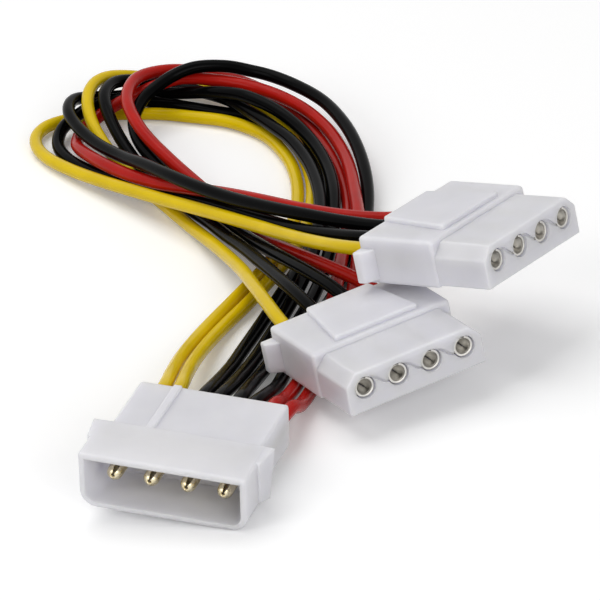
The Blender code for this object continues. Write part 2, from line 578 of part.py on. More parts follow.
def main():
    clear_scene()
    parts = make_collection("power_splitter_lead")
    tools = make_collection("cutters")
    nylon = make_material("nylon", NYLON, 0.42)
    brass = make_material("brass", BRASS, 0.3, 1.0)
    tin = make_material("tin", TIN, 0.35, 1.0)
    copper = make_material("copper", COPPER, 0.35, 1.0)
    coats = {colour: make_material(colour + "_coat", value, 0.38) for colour, value in INSULATION.items()}

    poses = {"plug": place(PLUG_CORNER, PLUG_TURN), "front": place(FRONT_CORNER, FRONT_TURN),
             "back": place(BACK_CORNER, BACK_TURN)}
    holders = {}
    for name, pose in poses.items():
        holders[name] = add_object(name + "_place", None, parts)
        holders[name].matrix_world = pose

    plug_housing("plug_housing", holders["plug"], nylon, parts, tools)
    pin = pin_contact()
    for way in range(WAYS):
        add_sheet(f"plug_pin_{way + 1}", pin, hole_x(way), pin_height(), parts, holders["plug"], brass)
    spring = spring_contact()
    for side in ("front", "back"):
        socket_housing(side + "_housing", holders[side], nylon, parts, tools)
        for way in range(WAYS):
            add_sheet(f"{side}_contact_{way + 1}", spring, hole_x(way), HOLE_HEIGHT, parts,
                      holders[side], tin)

    shift = Vector(LAYOUT_CENTRE)
    for name, (way, half) in WIRE_PLACES.items():
        side = "back" if "back" in name else "front"
        in_plug = Vector((hole_x(way) + half * PAIR_PITCH / 2, PLUG_LENGTH - WIRE_INSERT, pin_height()))
        in_socket = Vector((hole_x(way), SOCKET_LENGTH - WIRE_INSERT, HOLE_HEIGHT))
        free = [Vector(point) * MM - shift for point in WIRE_RUNS[name]]
        run = smooth_run([poses["plug"] @ in_plug] + free + [poses[side] @ in_socket])
        add_wire("wire_" + name, run, parts, coats[name.split("_")[0]])
        for end, holder, x, z in (("plug", "plug", hole_x(way) + half * CORE_PITCH / 2, pin_height()),
                                  ("socket", side, hole_x(way), HOLE_HEIGHT)):
            start, stop = core_span(end)
            core = drill(f"core_{name}_{end}", x, z, CORE_OD, start, stop, parts, holders[holder], CORE_SIDES)
            core.data.materials.append(copper)
    for item in parts.objects:
        if item.type == "MESH":
            item.data.shade_smooth()
            item.data.set_sharp_from_angle(angle=math.radians(30))


main()
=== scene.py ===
import math

import bmesh
import bpy
from mathutils import Euler, Matrix, Vector


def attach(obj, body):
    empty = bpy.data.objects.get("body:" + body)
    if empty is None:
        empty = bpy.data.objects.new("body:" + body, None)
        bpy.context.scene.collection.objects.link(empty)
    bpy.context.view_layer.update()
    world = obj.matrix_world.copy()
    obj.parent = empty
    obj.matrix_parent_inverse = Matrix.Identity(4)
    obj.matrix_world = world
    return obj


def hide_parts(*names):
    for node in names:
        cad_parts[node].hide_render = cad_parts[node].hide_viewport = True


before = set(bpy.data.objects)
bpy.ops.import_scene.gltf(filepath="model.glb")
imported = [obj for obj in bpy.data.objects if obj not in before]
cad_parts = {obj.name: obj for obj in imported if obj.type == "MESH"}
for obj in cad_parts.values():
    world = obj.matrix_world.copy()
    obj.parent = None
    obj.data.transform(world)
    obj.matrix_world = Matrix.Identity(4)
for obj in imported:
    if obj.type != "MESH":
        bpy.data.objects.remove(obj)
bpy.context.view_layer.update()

# The table under the lead, the lamps and the camera. The table is a plain white board, the light
# is soft and comes from above, the left and the front, and the camera looks down along the lead
# from far away through a long lens, turned a little on its axis.
MM = 0.001
BOARD_SIZE = 4.0
BOARD_COLOUR = (0.80, 0.80, 0.80)
BOARD_WHITE = (1.0, 1.0, 1.0)
BOARD_GLOW = 0.14
ROOM_WHITE = (1.0, 1.0, 1.0)
ROOM_STRENGTH = 0.30
VIEW_PLACE = (-3.63 * MM, -598.67 * MM, 309.0 * MM)
VIEW_RIGHT = (0.99255, -0.05342, -0.10953)
VIEW_UP = (0.12187, 0.43511, 0.89210)
VIEW_BACK = (0.0, -0.89879, 0.43837)
LENS = 300.0
SENSOR = 36.0
NEAREST_SEEN = 0.05
FURTHEST_SEEN = 20.0
LAMPS = {
    "lamp_above": ((-0.16, 0.20, 0.62), 0.55, 2.05),
    "lamp_left": ((-0.60, -0.30, 0.42), 0.40, 1.3),
    "lamp_front": ((0.30, -0.70, 0.35), 0.45, 2.5),
}


def link(item):
    """Put an object into the scene."""
    bpy.context.scene.collection.objects.link(item)
    return item


def new_material(name):
    """An empty node material, its tree and its output."""
    material = bpy.data.materials.new(name)
    material.use_nodes = True
    tree = material.node_tree
    tree.nodes.clear()
    return material, tree, tree.nodes.new("ShaderNodeOutputMaterial")


def seen_directly(tree):
    """One where a ray comes from the camera, a mirror or through glass, and nought elsewhere."""
    path = tree.nodes.new("ShaderNodeLightPath")
    first = tree.nodes.new("ShaderNodeMath")
    first.operation = "MAXIMUM"
    tree.links.new(path.outputs["Is Camera Ray"], first.inputs[0])
    tree.links.new(path.outputs["Is Glossy Ray"], first.inputs[1])
    second = tree.nodes.new("ShaderNodeMath")
    second.operation = "MAXIMUM"
    tree.links.new(first.outputs[0], second.inputs[0])
    tree.links.new(path.outputs["Is Transmission Ray"], second.inputs[1])
    return second.outputs[0]


def make_board():
    """The white table that keeps the shadow."""
    mesh = bpy.data.meshes.new("board")
    work = bmesh.new()
    bmesh.ops.create_grid(work, x_segments=2, y_segments=2, size=BOARD_SIZE / 2)
    work.to_mesh(mesh)
    work.free()
    board = link(bpy.data.objects.new("board", mesh))
    material, tree, out = new_material("white_board")
    shown = tree.nodes.new("ShaderNodeBsdfDiffuse")
    shown.inputs["Color"].default_value = (*BOARD_WHITE, 1.0)
    lighting = tree.nodes.new("ShaderNodeBsdfDiffuse")
    lighting.inputs["Color"].default_value = (*BOARD_COLOUR, 1.0)
    glow = tree.nodes.new("ShaderNodeEmission")
    glow.inputs["Color"].default_value = (*BOARD_WHITE, 1.0)
    glow.inputs["Strength"].default_value = BOARD_GLOW
    lifted = tree.nodes.new("ShaderNodeAddShader")
    mix = tree.nodes.new("ShaderNodeMixShader")
    tree.links.new(shown.outputs[0], lifted.inputs[0])
    tree.links.new(glow.outputs[0], lifted.inputs[1])
    tree.links.new(seen_directly(tree), mix.inputs[0])
    tree.links.new(lighting.outputs[0], mix.inputs[1])
    tree.links.new(lifted.outputs[0], mix.inputs[2])
    tree.links.new(mix.outputs[0], out.inputs["Surface"])
    mesh.materials.append(material)


def make_room():
    """An even pale surrounding that is white where it is seen."""
    world = bpy.data.worlds.new("room")
    bpy.context.scene.world = world
    world.use_nodes = True
    tree = world.node_tree
    tree.nodes.clear()
    shown = tree.nodes.new("ShaderNodeBackground")
    shown.inputs["Color"].default_value = (*ROOM_WHITE, 1.0)
    shown.inputs["Strength"].default_value = 1.0
    lighting = tree.nodes.new("ShaderNodeBackground")
    lighting.inputs["Color"].default_value = (*ROOM_WHITE, 1.0)
    lighting.inputs["Strength"].default_value = ROOM_STRENGTH
    mix = tree.nodes.new("ShaderNodeMixShader")
    out = tree.nodes.new("ShaderNodeOutputWorld")
    tree.links.new(seen_directly(tree), mix.inputs[0])
    tree.links.new(lighting.outputs[0], mix.inputs[1])
    tree.links.new(shown.outputs[0], mix.inputs[2])
    tree.links.new(mix.outputs[0], out.inputs["Surface"])


def make_lamp(name, place, size, power):
    """A square soft lamp that looks at the lead."""
    lamp = bpy.data.lights.new(name, "AREA")
    lamp.shape = "SQUARE"
    lamp.size = size
    lamp.energy = power
    item = link(bpy.data.objects.new(name, lamp))
    aim = (-Vector(place)).to_track_quat("-Z", "Y").to_matrix().to_4x4()
    item.matrix_world = Matrix.Translation(place) @ aim


def make_camera():
    """The long lens at the photograph's angle."""
    lens = bpy.data.cameras.new("view")
    lens.lens = LENS
    lens.sensor_width = SENSOR
    lens.clip_start = NEAREST_SEEN
    lens.clip_end = FURTHEST_SEEN
    item = link(bpy.data.objects.new("view", lens))
    turn = Matrix((VIEW_RIGHT, VIEW_UP, VIEW_BACK)).transposed().to_4x4()
    item.matrix_world = Matrix.Translation(VIEW_PLACE) @ turn
    bpy.context.scene.camera = item


bpy.context.scene.view_settings.view_transform = "Standard"
make_board()
make_room()
for lamp_name, (lamp_place, lamp_size, lamp_power) in LAMPS.items():
    make_lamp(lamp_name, lamp_place, lamp_size, lamp_power)
make_camera()

# The eight wires: stranded conductors under an extruded vinyl coat, 1.95 mm thick, in yellow, black
# and red. Each pair starts in one cavity of the plug, and the runs curl once round before they
# part and go into the backs of the two sockets. Places and runs are the source's own, in millimetres.
WAYS = 4
PITCH = 5.08 * MM
PAIR_PITCH = 2.3 * MM
WIRE_OD = 1.95 * MM
WIRE_INSERT = 3.6 * MM
PLUG_LENGTH = 20.5 * MM
SOCKET_LENGTH = 21.3 * MM
PIN_HEIGHT = 4.05 * MM
HOLE_HEIGHT = 3.3 * MM
RUN_STEP = 0.9 * MM
CURVE_STEPS = 12
TUBE_STEPS = 5
LAYOUT_CENTRE = (3.63 * MM, -34.88 * MM)
PLACES = {
    "plug": ((-21.12, -61.78, 1.08), (-22.5, 2.9, 6.3)),
    "front": ((14.41, -40.69, 4.55), (24.7, -3.0, -3.7)),
    "back": ((32.24, -26.67, 14.47), (49.3, -7.8, 1.8)),
}
WIRE_PLACES = {
    "yellow_back": (0, -1), "yellow_front": (0, 1),
    "black_back_1": (1, -1), "black_front_1": (1, 1),
    "black_back_2": (2, -1), "black_front_2": (2, 1),
    "red_front": (3, -1), "red_back": (3, 1),
}
WIRE_RUNS = {
    "yellow_back": [
        (-19.5, -34.9, 6.6), (-18.5, -29, 5.5), (-17.3, -20.9, 3.5), (-15.4, -13.5, 2.1),
        (-13, -7.3, 1.4), (-9, 0.7, 1.1), (-5.2, 7.9, 1.1), (-2, 15.3, 1.1), (0, 21.8, 1.1),
        (1.3, 29.5, 1.1), (1.6, 38.3, 1.1), (0.7, 46.3, 1.1), (-1.8, 54.5, 1.1), (-4.7, 59.1, 1.1),
        (-7.9, 62.3, 1.2), (-12.6, 65.4, 1.1), (-18.9, 68.6, 1.1), (-29.2, 70.7, 1.1),
        (-34.6, 68.7, 1.3), (-36.1, 66.9, 1.3), (-36.9, 64.6, 1.3), (-36.8, 61.3, 1.2),
        (-35.3, 56.6, 1.3), (-31.6, 50, 1.7), (-26.9, 42.8, 2.5), (-22.4, 36, 3.5), (-18, 29.5, 4.5),
        (-13.5, 22.9, 5.6), (-9.2, 16.3, 6.7), (-4.9, 9.4, 7.9), (-1, 2.2, 9.4), (2.7, -5.2, 11.3),
        (6.5, -12.4, 13.4), (10.7, -18, 15)],
    "black_back_1": [
        (-14.2, -37, 5.8), (-12.5, -31.4, 4.5), (-10.5, -23.8, 2.7), (-8.5, -16.4, 1.6),
        (-5.6, -7.9, 1.1), (-2.8, -0.4, 1.1), (0, 7.1, 1.1), (2.6, 14.8, 1.1), (4.6, 22.5, 1.1),
        (5.7, 30.6, 1.1), (5.9, 38.9, 1.1), (4.7, 47.3, 1.1), (2.5, 54.2, 1.1), (-0.9, 59.7, 1.1),
        (-4.5, 63.2, 1.1), (-9.2, 66.4, 1.1), (-16.9, 70, 1.9), (-22.9, 71, 3.1), (-27, 70.1, 3.3),
        (-30.3, 68.2, 2.6), (-32.6, 65.5, 2), (-33.5, 62.6, 1.5), (-33.4, 59.5, 1.2),
        (-31.9, 55.1, 1.1), (-28.5, 49.4, 1.3), (-24, 43.4, 2.3), (-19.5, 37.3, 3.2), (-14.8, 30.7, 4),
        (-10.4, 23.7, 5.2), (-6.3, 16.5, 6.7), (-2.8, 10.2, 7.9), (1.2, 3, 9.5), (5.5, -4, 11.4),
        (10.5, -10.6, 13.4)],
    "black_back_2": [
        (-9.6, -38.8, 5.4), (-8.4, -33.2, 3.9), (-6.6, -25.5, 1.9), (-4.1, -18.3, 1.2),
        (-1.2, -10.6, 1.1), (1.5, -2.9, 1.1), (3.7, 4.9, 1.3), (5.3, 13.1, 1.7), (6.3, 21.3, 2.3),
        (6.8, 29, 2.9), (6.3, 37.6, 3.2), (4.5, 46, 3.7), (1.8, 52.4, 4.5), (-1.1, 56.9, 5.2),
        (-4.8, 61.1, 5.6), (-8.4, 64.9, 4.9), (-14, 70.5, 3.1), (-20.7, 73.8, 2.3), (-24.9, 73.8, 2.5),
        (-27.8, 72.9, 3.2), (-30.2, 70.7, 4.2), (-31.2, 68.1, 4.7), (-31.4, 64.4, 4.8),
        (-30.2, 59.4, 4.5), (-27.4, 52.4, 4.5), (-23.7, 44.6, 5.4), (-20.5, 37.8, 6.8),
        (-16.8, 30.4, 7.9), (-12.8, 23.6, 8.6), (-8.5, 17.2, 9.3), (-3.3, 10.3, 10.3), (1.8, 4.1, 11.3),
        (7.3, -1.7, 12.1), (12.6, -6.5, 12.9), (18.9, -11.7, 14.7)],
    "red_back": [
        (-3, -41.6, 4.5), (-1.6, -36.2, 2.1), (0.5, -29, 1.1), (2.5, -21.8, 1.1), (5, -13.2, 1.3),
        (6.9, -5.9, 1.7), (8.5, 2.7, 2.5), (9.4, 11, 3.2), (9.8, 18.4, 3.5), (9.8, 26.9, 3.4),
        (9.6, 35.5, 3.2), (8.9, 42.7, 3), (7.2, 50.6, 3.1), (4.1, 58, 3.5), (0.1, 63.6, 4),
        (-4.3, 67.4, 4.5), (-8.7, 69.7, 4.9), (-14, 70.7, 5.5), (-17.8, 70.2, 5), (-24.3, 68.2, 3.5),
        (-28.7, 64.9, 2.2), (-29.9, 62.8, 2), (-30.6, 59.3, 2.1), (-30.3, 55.6, 2.7),
        (-27.2, 47.2, 3.8), (-23.2, 40.3, 4.4), (-18.8, 34.1, 5.2), (-13.5, 27.4, 6.6),
        (-8.4, 20.8, 8.1), (-3.8, 14.9, 9.2), (1.5, 8.6, 10.1), (7.3, 3.1, 10.8), (12.9, -1.2, 11.6),
        (19.2, -5.5, 13.1)],
    "yellow_front": [
        (-17.4, -35.7, 6.5), (-16.5, -29.8, 5.4), (-15.2, -21.7, 3.5), (-13.3, -14.3, 2.1),
        (-10.9, -8.2, 1.4), (-7.2, -1.1, 1.1), (-3.5, 6.1, 1.1), (-0.3, 13.3, 1.1), (2, 20.9, 1.1),
        (3.5, 29.8, 1.1), (3.8, 37.6, 1.2), (3, 45.1, 1.7), (1, 53.2, 2.5), (-2, 60.3, 3.3),
        (-5.6, 67, 2.7), (-11.4, 74.3, 1.8), (-15.8, 77.2, 2.2), (-18.7, 78, 2.9), (-21.5, 77.9, 3.7),
        (-24.7, 76.3, 4.8), (-26.7, 73.9, 5.4), (-28, 70.8, 5.4), (-28.5, 67.2, 4.9),
        (-28.1, 62.3, 3.9), (-26.4, 55.9, 2.6), (-23.4, 48, 1.5), (-20.4, 40.6, 1.1),
        (-17.5, 33.4, 1.2), (-14.4, 25.3, 1.5), (-11.9, 18.1, 2.3), (-9.4, 9.6, 3.5), (-7.6, 1.8, 4.9),
        (-6.4, -5.3, 6.2), (-4.8, -13.8, 7.3), (-2.9, -21.5, 7.5)],
    "black_front_1": [
        (-12.4, -38.8, 5.9), (-10.6, -33.2, 4.6), (-8.9, -26.5, 2.9), (-6.8, -19.1, 1.6),
        (-4.7, -12.5, 1.1), (-2.2, -5.7, 1.2), (0.6, 2.1, 1.8), (2.5, 8.9, 2.4), (3.9, 16.4, 3.1),
        (4.6, 24.1, 3.3), (4.5, 31, 3.4), (3.6, 38.7, 3.5), (1.6, 46.5, 3.7), (-0.5, 51.8, 3.6),
        (-3.2, 57.9, 3.4), (-7.1, 65.5, 3.2), (-12.4, 72.3, 2.6), (-17.9, 75.5, 3), (-20.3, 75.7, 3.7),
        (-22.8, 74.6, 4.6), (-24.5, 72.6, 5.2), (-25.7, 68.9, 5.5), (-25.8, 65.3, 5.1),
        (-24.5, 58.4, 3.6), (-22.2, 51.1, 1.9), (-19.8, 44.8, 1.2), (-16.9, 37.6, 1.2),
        (-14.3, 30.7, 1.8), (-11.8, 24.1, 2.6), (-9.4, 16.8, 3.5), (-7.1, 9.7, 4.6), (-5.1, 2.5, 5.7),
        (-3.1, -5, 6.9), (-0.9, -12.7, 7.9), (1.5, -19.4, 7.9)],
    "black_front_2": [
        (-7.8, -40.6, 5.3), (-6.2, -35.2, 3.6), (-4.5, -28.5, 1.4), (-2.9, -23.1, 1.1),
        (-0.6, -16.2, 1.1), (2.3, -8.6, 1.1), (4.8, -2, 1.1), (7.4, 5.6, 1.1), (9.5, 13.3, 1.2),
        (10.9, 20.5, 1.6), (11.7, 27.9, 2.4), (11.7, 35.1, 3.3), (11, 42.3, 4), (9.6, 49.4, 4.5),
        (7, 57.4, 4.8), (3.1, 63.9, 5.1), (-0.4, 67.4, 5.6), (-3.3, 69, 6.1), (-6.8, 69.9, 6.9),
        (-11.7, 69.8, 7.4), (-15.3, 68.8, 6.8), (-18.6, 66.5, 5.8), (-20.3, 64.2, 5.2),
        (-21.6, 60.5, 4.3), (-21.6, 57.1, 3.7), (-20.9, 53.4, 3), (-18.7, 47.6, 2.1), (-16, 41, 1.3),
        (-13.1, 33.7, 1.2), (-10.7, 27.1, 1.8), (-8, 19.5, 3), (-5.8, 12.9, 4.1), (-3.2, 5.4, 5.5),
        (-0.8, -1.1, 6.7), (2.3, -8.7, 7.8), (5.2, -15.3, 8.2)],
    "red_front": [
        (-5.1, -40.6, 4.8), (-3.8, -35.1, 2.6), (-1.6, -27.8, 1.2), (0.7, -20.3, 1.2), (3, -12.6, 2),
        (5.1, -4.3, 3), (6.3, 3.4, 3.2), (7.4, 11.2, 2.7), (8.2, 19.3, 1.8), (8.6, 27, 1.3),
        (8.4, 35.4, 1.1), (7.5, 43.8, 1.1), (5.9, 52.2, 1.1), (3.7, 59.7, 1.3), (-0.1, 67.5, 1.9),
        (-4.3, 72.4, 2.7), (-8.4, 74.9, 3.5), (-12, 75.6, 4.3), (-14.8, 75.3, 5), (-17.9, 73.6, 5.8),
        (-20.4, 70.7, 6.5), (-21.7, 67.4, 6.7), (-22.3, 62.9, 6.6), (-21.8, 58.1, 6.2),
        (-20.1, 52.2, 5.2), (-16.5, 44.6, 3.7), (-12.8, 37.5, 2.5), (-9.6, 30.3, 2), (-6.8, 22.6, 2.2),
        (-4.3, 15.1, 3.3), (-1.5, 7.2, 5), (1.4, 0.4, 6.4), (5.1, -7, 7.6), (8.8, -13.4, 8.1)],
}


def hole_x(way):
    """Where a contact stands along its housing."""
    return (way - (WAYS - 1) / 2) * PITCH


def pose_of(name):
    """The pose of a housing in the object's frame."""
    corner, turns = PLACES[name]
    yaw, pitch, roll = (math.radians(angle) for angle in turns)
    turn = Euler((pitch, roll, yaw), "YXZ").to_matrix().to_4x4()
    return Matrix.Translation(Vector(corner) * MM - Vector((*LAYOUT_CENTRE, 0))) @ turn


POSES = {name: pose_of(name) for name in PLACES}


def smooth_run(points):
    """A smooth curve through the points, read at even steps."""
    ends = [2 * points[0] - points[1]] + points + [2 * points[-1] - points[-2]]
    knots = [0.0]
    for near, far in zip(ends, ends[1:]):
        knots.append(knots[-1] + math.sqrt((far - near).length))
    fine = []
    for i in range(1, len(ends) - 2):
        t0, t1, t2, t3 = knots[i - 1:i + 3]
        for k in range(CURVE_STEPS):
            t = t1 + (t2 - t1) * k / CURVE_STEPS
            a1 = ends[i - 1].lerp(ends[i], (t - t0) / (t1 - t0))
            a2 = ends[i].lerp(ends[i + 1], (t - t1) / (t2 - t1))
            a3 = ends[i + 1].lerp(ends[i + 2], (t - t2) / (t3 - t2))
            b1 = a1.lerp(a2, (t - t0) / (t2 - t0))
            b2 = a2.lerp(a3, (t - t1) / (t3 - t1))
            fine.append(b1.lerp(b2, (t - t1) / (t2 - t1)))
    fine.append(points[-1].copy())
    travelled = [0.0]
    for near, far in zip(fine, fine[1:]):
        travelled.append(travelled[-1] + (far - near).length)
    count = round(travelled[-1] / RUN_STEP)
    run, i = [], 0
    for k in range(count):
        goal = travelled[-1] * k / count
        while travelled[i + 1] < goal:
            i += 1
        run.append(fine[i].lerp(fine[i + 1], (goal - travelled[i]) / (travelled[i + 1] - travelled[i])))
    run.append(fine[-1])
    return run


BROAD_DETAIL = 4.0
FINE_DETAIL = 6.0
FINE_ROUGHNESS = 0.65
FINE_RATIO = 6.0
MASK_MIDDLE = 0.5
MASK_LOW = 0.30
MASK_HIGH = 0.70
RELIEF_DEPTH = 0.02 * MM


def make_wear_group():
    """Fine unevenness that vinyl, nylon and metal share: a colour mask, a roughness and a height."""
    group = bpy.data.node_groups.new("surface_wear", "ShaderNodeTree")
    for label in ("Scale", "Roughness", "Spread"):
        group.interface.new_socket(name=label, in_out="INPUT", socket_type="NodeSocketFloat")
    for label in ("Mask", "Roughness", "Height"):
        group.interface.new_socket(name=label, in_out="OUTPUT", socket_type="NodeSocketFloat")
    nodes, links = group.nodes, group.links
    inputs = nodes.new("NodeGroupInput")
    outputs = nodes.new("NodeGroupOutput")
    place = nodes.new("ShaderNodeTexCoord")
    broad = nodes.new("ShaderNodeTexNoise")
    broad.inputs["Detail"].default_value = BROAD_DETAIL
    fine = nodes.new("ShaderNodeTexNoise")
    fine.inputs["Detail"].default_value = FINE_DETAIL
    fine.inputs["Roughness"].default_value = FINE_ROUGHNESS
    finer = nodes.new("ShaderNodeMath")
    finer.operation = "MULTIPLY"
    finer.inputs[1].default_value = FINE_RATIO
    centred = nodes.new("ShaderNodeMath")
    centred.operation = "SUBTRACT"
    centred.inputs[1].default_value = MASK_MIDDLE
    spread = nodes.new("ShaderNodeMath")
    spread.operation = "MULTIPLY"
    total = nodes.new("ShaderNodeMath")
    total.operation = "ADD"
    total.use_clamp = True
    links.new(place.outputs["Object"], broad.inputs["Vector"])
    links.new(place.outputs["Object"], fine.inputs["Vector"])
    links.new(inputs.outputs["Scale"], broad.inputs["Scale"])
    links.new(inputs.outputs["Scale"], finer.inputs[0])
    links.new(finer.outputs[0], fine.inputs["Scale"])
    links.new(broad.outputs["Fac"], centred.inputs[0])
    links.new(centred.outputs[0], spread.inputs[0])
    links.new(inputs.outputs["Spread"], spread.inputs[1])
    links.new(spread.outputs[0], total.inputs[0])
    links.new(inputs.outputs["Roughness"], total.inputs[1])
    links.new(broad.outputs["Fac"], outputs.inputs["Mask"])
    links.new(total.outputs[0], outputs.inputs["Roughness"])
    links.new(fine.outputs["Fac"], outputs.inputs["Height"])
    return group


WEAR = make_wear_group()


def worn_shader(name, low_colour, high_colour, scale, roughness, spread, bump):
    """A material whose colour, roughness and fine relief come from the shared unevenness."""
    material, tree, out = new_material(name)
    shader = tree.nodes.new("ShaderNodeBsdfPrincipled")
    wear = tree.nodes.new("ShaderNodeGroup")
    wear.node_tree = WEAR
    wear.inputs["Scale"].default_value = scale
    wear.inputs["Roughness"].default_value = roughness
    wear.inputs["Spread"].default_value = spread
    ramp = tree.nodes.new("ShaderNodeValToRGB")
    ramp.color_ramp.elements[0].position = MASK_LOW
    ramp.color_ramp.elements[0].color = (*low_colour, 1.0)
    ramp.color_ramp.elements[1].position = MASK_HIGH
    ramp.color_ramp.elements[1].color = (*high_colour, 1.0)
    relief = tree.nodes.new("ShaderNodeBump")
    relief.inputs["Strength"].default_value = bump
    relief.inputs["Distance"].default_value = RELIEF_DEPTH
    tree.links.new(wear.outputs["Mask"], ramp.inputs["Fac"])
    tree.links.new(ramp.outputs["Color"], shader.inputs["Base Color"])
    tree.links.new(wear.outputs["Roughness"], shader.inputs["Roughness"])
    tree.links.new(wear.outputs["Height"], relief.inputs["Height"])
    tree.links.new(relief.outputs["Normal"], shader.inputs["Normal"])
    tree.links.new(shader.outputs[0], out.inputs["Surface"])
    return material, shader


VINYL_COLOURS = {
    "yellow": ((0.70, 0.49, 0.002), (0.80, 0.57, 0.004)),
    "black": ((0.0010, 0.0011, 0.0012), (0.0024, 0.0026, 0.0028)),
    "red": ((0.38, 0.006, 0.003), (0.48, 0.010, 0.005)),
}
VINYL_SPECULAR = {"yellow": 0.10, "black": 0.03, "red": 0.08}
VINYL_GRAIN = 160.0
VINYL_ROUGHNESS = 0.19
VINYL_SPREAD = 0.10
VINYL_BUMP = 0.18


def make_vinyl(colour):
    """The soft glossy coat of a wire."""
    low, high = VINYL_COLOURS[colour]
    material, shader = worn_shader("vinyl_" + colour, low, high, VINYL_GRAIN, VINYL_ROUGHNESS,
                                   VINYL_SPREAD, VINYL_BUMP)
    shader.inputs["Specular IOR Level"].default_value = VINYL_SPECULAR[colour]
    return material


def make_wire(name, vinyl):
    """One wire as a round tube on its route."""
    way, half = WIRE_PLACES[name]
    side = "back" if "back" in name else "front"
    across = hole_x(way) + half * PAIR_PITCH / 2
    in_plug = Vector((across, PLUG_LENGTH - WIRE_INSERT, PIN_HEIGHT))
    in_socket = Vector((hole_x(way), SOCKET_LENGTH - WIRE_INSERT, HOLE_HEIGHT))
    shift = Vector((*LAYOUT_CENTRE, 0))
    free = [Vector(point) * MM - shift for point in WIRE_RUNS[name]]
    run = smooth_run([POSES["plug"] @ in_plug] + free + [POSES[side] @ in_socket])
    tube = bpy.data.curves.new("lead_" + name, "CURVE")
    tube.dimensions = "3D"
    tube.bevel_depth = WIRE_OD / 2
    tube.bevel_resolution = TUBE_STEPS
    tube.use_fill_caps = True
    line = tube.splines.new("POLY")
    line.points.add(len(run) - 1)
    for point, where in zip(line.points, run):
        point.co = (*where, 1.0)
    line.use_smooth = True
    tube.materials.append(vinyl)
    item = link(bpy.data.objects.new("lead_" + name, tube))
    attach(item, "root")
    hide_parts("wire_" + name)


VINYLS = {colour: make_vinyl(colour) for colour in VINYL_COLOURS}
for wire_name in WIRE_RUNS:
    make_wire(wire_name, VINYLS[wire_name.split("_")[0]])

# The conductors: bare copper strands at the wires' ends, stripped and held in the barrels of the
# contacts inside the housings, where little of them shows. They are the source's own solids.
COPPER_DARK = (0.58, 0.27, 0.15)
COPPER_LIGHT = (0.76, 0.42, 0.26)
COPPER_ROUGHNESS = 0.34
METAL_GRAIN = 900.0
METAL_SPREAD = 0.2
METAL_BUMP = 0.3


def worn_metal(name, dark, light, roughness):
    """A bare metal with fine marks all over it."""
    material, shader = worn_shader(name, dark, light, METAL_GRAIN, roughness, METAL_SPREAD, METAL_BUMP)
    shader.inputs["Metallic"].default_value = 1.0
    return material


copper = worn_metal("bare_copper", COPPER_DARK, COPPER_LIGHT, COPPER_ROUGHNESS)
for node_name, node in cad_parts.items():
    if node_name.startswith("core_"):
        node.data.materials.clear()
        node.data.materials.append(copper)

# The nylon of the three housings: injection moulded in one piece each, natural milky white, a little
# translucent, with a fine matt skin from the mould and faint flow marks across it.
NYLON_LOW = (0.68, 0.675, 0.72)
NYLON_HIGH = (0.735, 0.728, 0.775)
NYLON_RADIUS = (1.0, 1.0, 1.1)
NYLON_DEPTH = 3.0 * MM
NYLON_MILKINESS = 1.0
NYLON_IOR = 1.53
NYLON_GRAIN = 130.0
NYLON_ROUGHNESS = 0.42
NYLON_SPREAD = 0.12
NYLON_BUMP = 0.10
ROUND_SIDES = 48
CUT_OVERRUN = 1.0 * MM
SINK = 0.6 * MM
SOFT_EDGE = 0.45 * MM
BLOCK_EDGE = 0.55 * MM
PAD_EDGE = 0.34 * MM
FINE_EDGE = 0.25 * MM
MOUTH_EDGE = 0.16 * MM
EDGE_SEGMENTS = 4
MOUTH_SEGMENTS = 3
ROUND_PROFILE = 0.5
SHARP_ANGLE = math.radians(24)
MOUTH_ANGLE = math.radians(55)
CREASE_ANGLE = math.radians(38)
FLAT_ANGLE = math.radians(0.5)
SAME_PLACE = 0.002 * MM

nylon, nylon_shader = worn_shader("milky_nylon", NYLON_LOW, NYLON_HIGH, NYLON_GRAIN, NYLON_ROUGHNESS,
                                  NYLON_SPREAD, NYLON_BUMP)
nylon_shader.inputs["IOR"].default_value = NYLON_IOR
nylon_shader.inputs["Subsurface Weight"].default_value = NYLON_MILKINESS
nylon_shader.inputs["Subsurface Radius"].default_value = NYLON_RADIUS
nylon_shader.inputs["Subsurface Scale"].default_value = NYLON_DEPTH


def tool_object(name, work):
    """A working solid that a housing is made from."""
    mesh = bpy.data.meshes.new(name)
    work.to_mesh(mesh)
    work.free()
    return link(bpy.data.objects.new(name, mesh))


def prism(name, axis, outline, start, end, edge=0.0, flare=None):
    """A flat outline pulled along an axis, with its sharp edges rounded."""
    work = bmesh.new()
    spots = {"x": lambda a, b: (start, a, b), "y": lambda a, b: (a, start, b),
             "z": lambda a, b: (a, b, start)}
    pulls = {"x": (end - start, 0, 0), "y": (0, end - start, 0), "z": (0, 0, end - start)}
    face = work.faces.new([work.verts.new(spots[axis](a, b)) for a, b in outline])
    pulled = bmesh.ops.extrude_face_region(work, geom=[face])["geom"]
    far = [item for item in pulled if isinstance(item, bmesh.types.BMVert)]
    bmesh.ops.translate(work, verts=far, vec=pulls[axis])
    bmesh.ops.recalc_face_normals(work, faces=work.faces)
    if flare:
        for corner in work.verts:
            corner.co.x += flare(corner.co)
    if edge:
        sharp = [line for line in work.edges if line.calc_face_angle(0) > SHARP_ANGLE]
        bmesh.ops.bevel(work, geom=sharp, offset=edge, segments=EDGE_SEGMENTS, profile=ROUND_PROFILE,
                        affect="EDGES", material=-1)
    bmesh.ops.triangulate(work, faces=work.faces)
    return tool_object(name, work)


